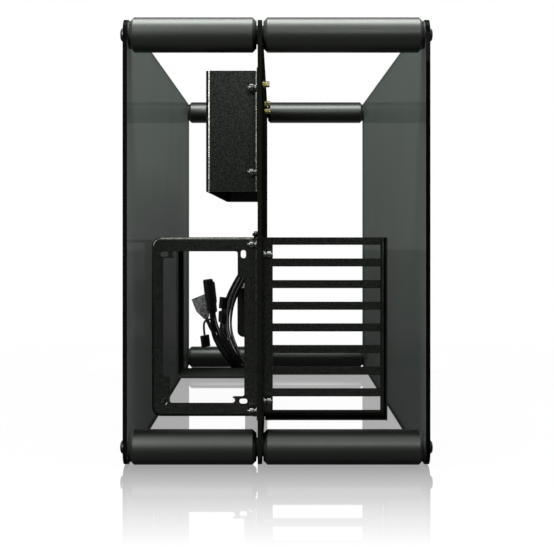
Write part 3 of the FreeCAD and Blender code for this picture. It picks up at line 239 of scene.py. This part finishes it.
def finish(name, colour, roughness, metallic=0.0, specular=0.5, sheen_tint=WHITE):
    """Material with one Principled shader and its plain values."""
    made = bpy.data.materials.new(name)
    made.use_nodes = True
    shader = made.node_tree.nodes[SHADER]
    shader.inputs["Base Color"].default_value = (*colour, 1.0)
    shader.inputs["Roughness"].default_value = roughness
    shader.inputs["Metallic"].default_value = metallic
    shader.inputs["Specular IOR Level"].default_value = specular
    shader.inputs["Specular Tint"].default_value = (*sheen_tint, 1.0)
    return made


def grain(made, scale, detail=2.0, stretch=(1.0, 1.0, 1.0)):
    """Noise on the piece's own coordinates, stretched where the finish has a direction."""
    tree = made.node_tree
    place = tree.nodes.new("ShaderNodeTexCoord")
    mapping = tree.nodes.new("ShaderNodeMapping")
    mapping.inputs["Scale"].default_value = stretch
    noise = tree.nodes.new("ShaderNodeTexNoise")
    noise.inputs["Scale"].default_value = scale
    noise.inputs["Detail"].default_value = detail
    tree.links.new(place.outputs["Object"], mapping.inputs["Vector"])
    tree.links.new(mapping.outputs["Vector"], noise.inputs["Vector"])
    return noise.outputs[0]


def tones(made, factor, low, high, start=0.35, end=0.65):
    """Base colour between two tones along a pattern."""
    tree = made.node_tree
    ramp = tree.nodes.new("ShaderNodeValToRGB")
    first, last = ramp.color_ramp.elements
    first.position = start
    first.color = (*low, 1.0)
    last.position = end
    last.color = (*high, 1.0)
    tree.links.new(factor, ramp.inputs["Fac"])
    tree.links.new(ramp.outputs["Color"], tree.nodes[SHADER].inputs["Base Color"])
    return ramp.outputs["Color"]


def patchy_gloss(made, factor, low, high, start=0.3, end=0.7):
    """Roughness between two values along a pattern."""
    tree = made.node_tree
    tree.links.new(ranged(tree, factor, start, end, low, high), tree.nodes[SHADER].inputs["Roughness"])


def relief(made, factor, strength, distance, edge=0.0):
    """Surface relief along a pattern, with edges rounded by the given radius."""
    tree = made.node_tree
    bump = tree.nodes.new("ShaderNodeBump")
    bump.inputs["Strength"].default_value = strength
    bump.inputs["Distance"].default_value = distance
    tree.links.new(factor, bump.inputs["Height"])
    if edge:
        rounded = tree.nodes.new("ShaderNodeBevel")
        rounded.samples = 4
        rounded.inputs["Radius"].default_value = edge
        tree.links.new(rounded.outputs["Normal"], bump.inputs["Normal"])
    tree.links.new(bump.outputs["Normal"], tree.nodes[SHADER].inputs["Normal"])


def shade(colour, share):
    """Colour made lighter or darker by a share."""
    return tuple(channel * share for channel in colour)


def dress(made, *names):
    """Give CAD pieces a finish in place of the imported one."""
    for name in names:
        slots = NODES[name].data.materials
        slots.clear()
        slots.append(made)


def metres(spot):
    """Point in metres from one in millimetres."""
    return tuple(number / 1000.0 for number in spot)


def satin_anodise(colour):
    """Satin black anodised aluminium with a fine blasted grain."""
    made = finish("satin_anodise", colour, 0.34, specular=1.0, sheen_tint=COOL_SHEEN)
    fine = grain(made, scale=2600.0, detail=3.0)
    tones(made, grain(made, scale=160.0, detail=4.0), shade(colour, 0.8), shade(colour, 1.25))
    patchy_gloss(made, fine, low=0.32, high=0.42)
    relief(made, fine, strength=0.12, distance=0.00003)
    return made


def powder_coat(colour):
    """Black powder coat over steel with a fine orange-peel texture, dark where it is seen flat."""
    made = finish("powder_coat", colour, 0.24, metallic=1.0, sheen_tint=DARK_SHEEN)
    fine = grain(made, scale=700.0, detail=4.0)
    tones(made, fine, shade(colour, 0.5), shade(colour, 1.4), start=0.38, end=0.62)
    patchy_gloss(made, fine, low=0.20, high=0.22)
    relief(made, fine, strength=0.05, distance=0.00004)
    return made


def matt_anodise(name, colour):
    """Matt black anodised sheet, with no gloss even where it is seen flat."""
    made = finish(name, colour, 0.6, specular=0.0)
    fine = grain(made, scale=1600.0, detail=3.0)
    tones(made, fine, shade(colour, 0.7), shade(colour, 1.4))
    patchy_gloss(made, fine, low=0.54, high=0.66)
    relief(made, fine, strength=0.2, distance=0.00006, edge=0.0006)
    return made


def smoked_glass(tint, facing_cover, grazing_cover):
    """Smoked glass: more of it shows the flatter it is seen, and its colour is lighter there, a painted
    sheen; the ground edges are opaque.
    """
    made = finish("smoked_glass", tint, 0.08, specular=0.0)
    tree = made.node_tree
    shader = tree.nodes[SHADER]
    shader.inputs["Coat Weight"].default_value = 0.05
    shader.inputs["Coat Roughness"].default_value = 0.02
    facing = flatness(tree)
    geometry = tree.nodes.new("ShaderNodeNewGeometry")
    across = maths(tree, "ABSOLUTE", parted(tree, geometry.outputs["Normal"]).outputs["X"])
    edge = maths(tree, "LESS_THAN", across, GLASS_EDGE_NORMAL)
    cover = ranged(tree, facing, *GLASS_COVER, facing_cover, grazing_cover)
    tree.links.new(maths(tree, "MAXIMUM", edge, cover), shader.inputs["Alpha"])
    clouds = tones(made, grain(made, scale=12.0), shade(tint, 0.97), shade(tint, 1.03))
    # Painted sheen: the tint runs from nearly black seen straight on to full where the glass is seen flat.
    painted_sheen = tree.nodes.new("ShaderNodeMixRGB")
    painted_sheen.inputs["Color1"].default_value = (*shade(tint, GLASS_DARK_SHARE), 1.0)
    tree.links.new(ranged(tree, facing, *GLASS_PAINTED_SHEEN), painted_sheen.inputs["Fac"])
    tree.links.new(clouds, painted_sheen.inputs["Color2"])
    body = tree.nodes.new("ShaderNodeMixRGB")
    body.inputs["Color2"].default_value = (*GLASS_EDGE_BLACK, 1.0)
    tree.links.new(edge, body.inputs["Fac"])
    tree.links.new(painted_sheen.outputs["Color"], body.inputs["Color1"])
    tree.links.new(body.outputs["Color"], shader.inputs["Base Color"])
    return made


def screw_metal(name, colour, smooth, rough):
    """Turned screw metal with faint tool marks."""
    made = finish(name, colour, smooth, metallic=1.0)
    marks = grain(made, scale=900.0, detail=3.0, stretch=(4.0, 1.0, 1.0))
    tones(made, marks, shade(colour, 0.8), shade(colour, 1.15))
    patchy_gloss(made, marks, low=smooth, high=rough)
    relief(made, marks, strength=0.1, distance=0.00003, edge=0.0002)
    return made


def moulded_plastic(name, colour, roughness, scale=1400.0, contrast=0.27):
    """Moulded plastic with a fine eroded texture."""
    made = finish(name, colour, roughness, specular=0.4)
    fine = grain(made, scale, detail=3.0)
    tones(made, fine, shade(colour, 1.0 - contrast), shade(colour, 1.0 + contrast))
    patchy_gloss(made, fine, low=roughness - 0.06, high=roughness + 0.08)
    relief(made, fine, strength=0.2, distance=0.00005, edge=0.0003)
    return made


def jacket(colour):
    """Smooth jacket of the leads."""
    made = finish("lead_jacket", colour, 0.3)
    soft = grain(made, scale=500.0)
    tones(made, soft, shade(colour, 0.8), shade(colour, 1.3))
    patchy_gloss(made, soft, low=0.25, high=0.36)
    relief(made, soft, strength=0.08, distance=0.00005)
    return made


class OpenCaseSettings(bpy.types.PropertyGroup):
    """Sizes and colours that a user would change."""

    spacer_colour: bpy.props.FloatVectorProperty(
        name="Spacers",
        description="Colour of the anodised spacers",
        subtype="COLOR",
        default=(0.0020, 0.0024, 0.0019),
        min=0.0,
        max=1.0,
    )
    bracket_colour: bpy.props.FloatVectorProperty(
        name="Brackets",
        description="Colour of the coat on the folded brackets",
        subtype="COLOR",
        default=(0.082, 0.090, 0.078),
        min=0.0,
        max=1.0,
    )
    plate_colour: bpy.props.FloatVectorProperty(
        name="Plate",
        description="Colour of the center plate",
        subtype="COLOR",
        default=(0.0065, 0.0075, 0.0052),
        min=0.0,
        max=1.0,
    )
    glass_tint: bpy.props.FloatVectorProperty(
        name="Glass",
        description="Tint of the smoked glass",
        subtype="COLOR",
        default=(0.115, 0.150, 0.126),
        min=0.0,
        max=1.0,
    )
    glass_cover: bpy.props.FloatVectorProperty(
        name="Glass cover",
        description="Opacity of one face seen straight on and seen flat",
        size=2,
        default=(0.32, 0.9),
        min=0.0,
        max=1.0,
    )
    brass_colour: bpy.props.FloatVectorProperty(
        name="Standoffs",
        description="Colour of the brass standoffs",
        subtype="COLOR",
        default=(0.88, 0.80, 0.36),
        min=0.0,
        max=1.0,
    )
    jacket_colour: bpy.props.FloatVectorProperty(
        name="Leads",
        description="Colour of the lead jackets",
        subtype="COLOR",
        default=(0.007, 0.007, 0.0075),
        min=0.0,
        max=1.0,
    )
    lead_sides: bpy.props.IntProperty(
        name="Lead roundness",
        description="Steps in a quarter of a lead's section",
        default=5,
        min=2,
        max=12,
    )
    floor_mirror: bpy.props.FloatVectorProperty(
        name="Floor mirror",
        description="Mirror share of the floor under the case and in front of it",
        size=2,
        default=(0.6, 0.0),
        min=0.0,
        max=1.0,
    )
    ambient: bpy.props.FloatProperty(
        name="Ambient",
        description="Even light from all around",
        default=0.3,
        min=0.0,
        max=1.0,
    )


class OPENCASE_OT_spacers(bpy.types.Operator):
    """Finish the eight spacers, their washers and the studs."""

    bl_idname = "open_case.spacers"
    bl_label = "Spacers"

    def execute(self, context):
        settings = context.scene.open_case
        dress(satin_anodise(settings.spacer_colour), *[name for name in NODES if name.startswith("tube_")])
        rubber = moulded_plastic("washer_plastic", WASHER_BLACK, 0.5)
        dress(rubber, *[name for name in NODES if "washers" in name])
        dress(screw_metal("stud_steel", STUD_STEEL, smooth=0.3, rough=0.4), "joining_studs")
        return {"FINISHED"}


class OPENCASE_OT_panels(bpy.types.Operator):
    """Finish the glass, its dome-headed screws and the center plate."""

    bl_idname = "open_case.panels"
    bl_label = "Panels"

    def execute(self, context):
        settings = context.scene.open_case
        glass = smoked_glass(settings.glass_tint, *settings.glass_cover)
        dress(glass, "glass_left", "glass_right")
        oxide = screw_metal("black_oxide", SCREW_OXIDE, smooth=0.3, rough=0.42)
        dress(oxide, "glass_screws_left", "glass_screws_right")
        dress(matt_anodise("plate_anodise", settings.plate_colour), "center_plate")
        return {"FINISHED"}


class OPENCASE_OT_brackets(bpy.types.Operator):
    """Finish the folded brackets, their screws and the standoffs."""

    bl_idname = "open_case.brackets"
    bl_label = "Brackets"

    def execute(self, context):
        settings = context.scene.open_case
        dress(powder_coat(settings.bracket_colour), "psu_frame", "slot_frame", "drive_box")
        dress(matt_anodise("strip_coat", shade(settings.bracket_colour, STRIP_SHARE)), "psu_support")
        nickel = screw_metal("black_nickel", SCREW_NICKEL, smooth=0.08, rough=0.16)
        dress(nickel, "psu_frame_screws", "slot_frame_screws", "drive_box_screws", "io_housing_screws")
        oxide = screw_metal("support_oxide", STRIP_SCREW_OXIDE, smooth=0.3, rough=0.42)
        dress(oxide, "psu_support_screws")
        brass = screw_metal("standoff_brass", settings.brass_colour, smooth=0.18, rough=0.26)
        dress(brass, "standoffs")
        return {"FINISHED"}


class OPENCASE_OT_front_panel(bpy.types.Operator):
    """Finish the front-panel housing, its board, ports and buttons."""

    bl_idname = "open_case.front_panel"
    bl_label = "Front panel"

    def execute(self, context):
        dress(moulded_plastic("housing_plastic", HOUSING_BLACK, 0.5), "io_housing")
        NODES["io_housing"].visible_glossy = False
        dress(moulded_plastic("board_mask", BOARD_GREEN, 0.35, scale=600.0), "io_board")
        dress(moulded_plastic("port_plastic", PORT_BLACK, 0.45), "audio_jacks", "button_switches")
        dress(screw_metal("port_nickel", PORT_NICKEL, smooth=0.2, rough=0.32), "usb_ports")
        button = screw_metal("button_metal", BUTTON_BLACK, smooth=0.3, rough=0.4)
        dress(button, "power_button", "reset_button")
        return {"FINISHED"}


class OPENCASE_OT_leads(bpy.types.Operator):
    """Lay the six front-panel leads and finish their plugs and gland."""

    bl_idname = "open_case.leads"
    bl_label = "Leads"

    def execute(self, context):
        settings = context.scene.open_case
        coat = jacket(settings.jacket_colour)
        dress(moulded_plastic("gland_rubber", GLAND_BLACK, 0.55), "cable_gland")
        plug_black = moulded_plastic("plug_plastic", PLUG_BLACK, 0.4)
        dress(plug_black, "data_plug", "second_plug", "lead_plug", "reset_plug", "lamp_plug")
        plug_grey = moulded_plastic("plug_grey", PLUG_GREY, 0.5, scale=420.0, contrast=0.75)
        dress(plug_grey, "audio_plug")
        for lead in LEADS:
            self.lay(settings, coat, *lead)
        return {"FINISHED"}

    def lay(self, settings, coat, name, node, plug, route, diameter, length):
        """One lead as a smooth curve along its route."""
        curve = bpy.data.curves.new(name, "CURVE")
        curve.dimensions = "3D"
        curve.bevel_depth = diameter / 2
        curve.bevel_resolution = settings.lead_sides
        curve.resolution_u = 8
        curve.use_fill_caps = True
        line = curve.splines.new("NURBS")
        line.points.add(len(route) - 1)
        for point, spot in zip(line.points, route):
            point.co = (*metres(spot), 1.0)
        line.order_u = 3
        line.use_endpoint_u = True
        curve.materials.append(coat)
        piece = bpy.data.objects.new(name, curve)
        bpy.context.scene.collection.objects.link(piece)
        piece.visible_glossy = False
        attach(piece, BODY)
        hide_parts(node)


class OPENCASE_OT_studio(bpy.types.Operator):
    """Set the camera, lamps, surroundings and floor."""

    bl_idname = "open_case.studio"
    bl_label = "Studio"

    def execute(self, context):
        settings = context.scene.open_case
        context.scene.view_settings.view_transform = "Standard"
        self.camera(context.scene)
        overhead = self.lamp("overhead_softbox", *OVERHEAD)
        left = self.lamp("left_softbox", *LEFT)
        right = self.lamp("right_softbox", *RIGHT)
        shadow = self.lamp("shadow_softbox", *OVERHEAD)
        shadow.visible_glossy = False
        self.surroundings(context.scene, settings.ambient)
        ground = self.floor(settings.floor_mirror)
        shaded = [NODES[name] for name in ("tube_left_rear_bottom", "tube_right_rear_bottom")]
        self.flag(overhead, "EXCLUDE", ground, *shaded)
        self.flag(left, "EXCLUDE", ground, NODES["glass_right"])
        self.flag(right, "EXCLUDE", ground)
        self.flag(shadow, "INCLUDE", ground)
        return {"FINISHED"}

    def camera(self, scene):
        """Level camera behind the case, shifted as the photograph is framed."""
        lens = bpy.data.cameras.new("rear_camera")
        lens.lens = LENS
        lens.sensor_width = SENSOR
        lens.shift_x, lens.shift_y = SHIFT
        camera = bpy.data.objects.new("rear_camera", lens)
        camera.location = CAMERA_PLACE
        camera.rotation_euler = (math.radians(90.0), 0.0, 0.0)
        scene.collection.objects.link(camera)
        scene.camera = camera

    def lamp(self, name, place, aim, size, power):
        """Softbox at a place, turned to a point."""
        light = bpy.data.lights.new(name, "AREA")
        light.shape = "RECTANGLE"
        light.size, light.size_y = size
        light.energy = power
        lamp = bpy.data.objects.new(name, light)
        lamp.location = place
        lamp.rotation_euler = (Vector(aim) - Vector(place)).to_track_quat("-Z", "Y").to_euler()
        bpy.context.scene.collection.objects.link(lamp)
        return lamp

    def flag(self, lamp, state, *pieces):
        """Keep a lamp's light off some pieces, or to them alone, as flags on a stand do."""
        group = bpy.data.collections.new(lamp.name + "_flag")
        for piece in pieces:
            group.objects.link(piece)
        for entry in group.collection_objects:
            entry.light_linking.link_state = state
        lamp.light_linking.receiver_collection = group

    def surroundings(self, scene, ambient):
        """White to the eye and through glass, dimmer as light and behind the camera."""
        world = bpy.data.worlds.new("studio")
        world.use_nodes = True
        scene.world = world
        tree = world.node_tree
        back = tree.nodes["Background"]
        back.inputs["Color"].default_value = (*WHITE, 1.0)
        path = tree.nodes.new("ShaderNodeLightPath")
        way = parted(tree, tree.nodes.new("ShaderNodeTexCoord").outputs["Generated"])
        ahead = ranged(tree, way.outputs["Y"], *BACKDROP_AHEAD)
        low = ranged(tree, way.outputs["Z"], *BACKDROP_LOW)
        above = ranged(tree, way.outputs["Z"], *ROOM_ABOVE)
        behind = ranged(tree, way.outputs["Y"], *ROOM_BEHIND)
        backdrop = maths(tree, "MULTIPLY", ahead, low)
        room = maths(tree, "MULTIPLY", above, behind)
        around = maths(tree, "MAXIMUM", backdrop, room)
        mirrored = mixed(tree, path.outputs["Is Glossy Ray"], ambient, around)
        shown = mixed(tree, seen_directly(tree, path), mirrored, 1.0)
        tree.links.new(shown, back.inputs["Strength"])

    def floor(self, mirror):
        """Pale floor that mirrors the case and keeps its shadow, with a painted shade near the case in
        what gloss and bounced light see.
        """
        sheet = bmesh.new()
        bmesh.ops.create_grid(sheet, x_segments=1, y_segments=1, size=FLOOR_HALF)
        bmesh.ops.translate(sheet, vec=(0.0, 0.0, -FLOOR_DROP), verts=sheet.verts)
        mesh = bpy.data.meshes.new("studio_floor")
        sheet.to_mesh(mesh)
        sheet.free()
        mesh.materials.append(self.floor_finish(mirror))
        ground = bpy.data.objects.new("studio_floor", mesh)
        bpy.context.scene.collection.objects.link(ground)
        return ground

    def floor_finish(self, mirror):
        """White floor with a mirror share that fades towards the camera, and a painted shade near the case
        in its glow for gloss and bounced light.
        """
        made = bpy.data.materials.new("floor_white")
        made.use_nodes = True
        tree = made.node_tree
        tree.nodes.remove(tree.nodes[SHADER])
        seen = seen_directly(tree, tree.nodes.new("ShaderNodeLightPath"))
        place = tree.nodes.new("ShaderNodeTexCoord").outputs["Object"]
        parts = parted(tree, place)
        along = parts.outputs["Y"]
        across = maths(tree, "ABSOLUTE", parts.outputs["X"])

        glow = tree.nodes.new("ShaderNodeEmission")
        # The glow that gloss and bounced light see is dim near the case and brighter beyond it, a painted
        # shade; the eye and glass see it white.
        beyond = ranged(tree, along, *PAINTED_SHADE_BEYOND)
        before = ranged(tree, along, *PAINTED_SHADE_BEFORE)
        level = maths(tree, "MAXIMUM", seen, maths(tree, "MAXIMUM", beyond, before))
        tree.links.new(level, glow.inputs["Strength"])
        matt = tree.nodes.new("ShaderNodeBsdfDiffuse")
        matt.inputs["Color"].default_value = (*FLOOR_GREY, 1.0)
        far = tree.nodes.new("ShaderNodeVectorMath")
        far.operation = "LENGTH"
        tree.links.new(place, far.inputs[0])
        shadow = ranged(tree, far.outputs["Value"], *SHADOW_POOL)
        body = self.layered(tree, shadow, glow, matt)

        gloss = tree.nodes.new("ShaderNodeBsdfGlossy")
        gloss.inputs["Color"].default_value = (*WHITE, 1.0)
        gloss.inputs["Roughness"].default_value = MIRROR_ROUGHNESS
        fade = ranged(tree, along, *MIRROR_FADE, *mirror)
        contact = ranged(tree, along, *MIRROR_CONTACT)
        deep = maths(tree, "MAXIMUM", fade, contact)
        beside = ranged(tree, across, *MIRROR_BESIDE)
        inside = ranged(tree, along, *MIRROR_INSIDE)
        flat = ranged(tree, flatness(tree), *MIRROR_FLAT)
        shiny = seen
        for share in (deep, beside, inside, flat):
            shiny = maths(tree, "MULTIPLY", shiny, share)
        top = self.layered(tree, shiny, body, gloss)
        tree.links.new(top.outputs[0], tree.nodes["Material Output"].inputs["Surface"])
        return made

    def layered(self, tree, share, under, over):
        """Shader with a share of another one over it."""
        node = tree.nodes.new("ShaderNodeMixShader")
        tree.links.new(share, node.inputs["Fac"])
        tree.links.new(under.outputs[0], node.inputs[1])
        tree.links.new(over.outputs[0], node.inputs[2])
        return node


class OPENCASE_PT_panel(bpy.types.Panel):
    """Steps and settings of the case."""

    bl_idname = "OPENCASE_PT_panel"
    bl_label = "Open-frame case"
    bl_space_type = "VIEW_3D"
    bl_region_type = "UI"
    bl_category = "Case"

    def draw(self, context):
        layout = self.layout
        settings = context.scene.open_case
        for name in settings.bl_rna.properties.keys():
            if name not in {"rna_type", "name"}:
                layout.prop(settings, name)
        for step in STEPS:
            layout.operator(step.bl_idname)


STEPS = (
    OPENCASE_OT_studio,
    OPENCASE_OT_leads,
    OPENCASE_OT_spacers,
    OPENCASE_OT_panels,
    OPENCASE_OT_brackets,
    OPENCASE_OT_front_panel,
)
CLASSES = (OpenCaseSettings, *STEPS, OPENCASE_PT_panel)


def register():
    for item in CLASSES:
        bpy.utils.register_class(item)
    bpy.types.Scene.open_case = bpy.props.PointerProperty(type=OpenCaseSettings)


def unregister():
    del bpy.types.Scene.open_case
    for item in reversed(CLASSES):
        bpy.utils.unregister_class(item)


def main():
    register()
    bpy.ops.open_case.studio()
    bpy.ops.open_case.leads()
    bpy.ops.open_case.spacers()
    bpy.ops.open_case.panels()
    bpy.ops.open_case.brackets()
    bpy.ops.open_case.front_panel()


if __name__ == "__main__":
    main()
